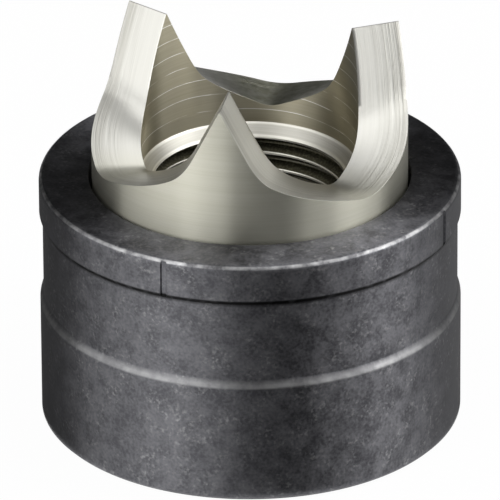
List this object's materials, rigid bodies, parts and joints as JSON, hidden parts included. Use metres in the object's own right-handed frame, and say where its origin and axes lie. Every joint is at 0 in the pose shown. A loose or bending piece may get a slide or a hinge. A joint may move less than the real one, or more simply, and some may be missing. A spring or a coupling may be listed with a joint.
{
  "type": "sheet metal hole punch",
  "caption": "Round knock-out punch with a three-toothed crown, standing in its cup-shaped steel die; the punch lifts out along the axis.",
  "frame": {"origin": "centre of the die's flat foot, on the common axis of die and punch", "axes": "+Z along the axis from the die's foot to the punch's teeth; the die's four alignment marks lie on the X and Y axes"},
  "size_m": [0.0378, 0.0378, 0.036],
  "materials": {
    "black_oxide_steel": "black oxide over turned steel, satin, faintly speckled",
    "bright_steel": "bright warm silver, ground and machined"
  },
  "bodies": {
    "die": {"die": "black_oxide_steel"},
    "punch": {"punch": "bright_steel"}
  },
  "joints": [
    {"name": "punch_lift", "type": "slide", "parent": "die", "child": "punch", "axis": [0, 0, 1], "range_m": [0, 0.022]}
  ]
}
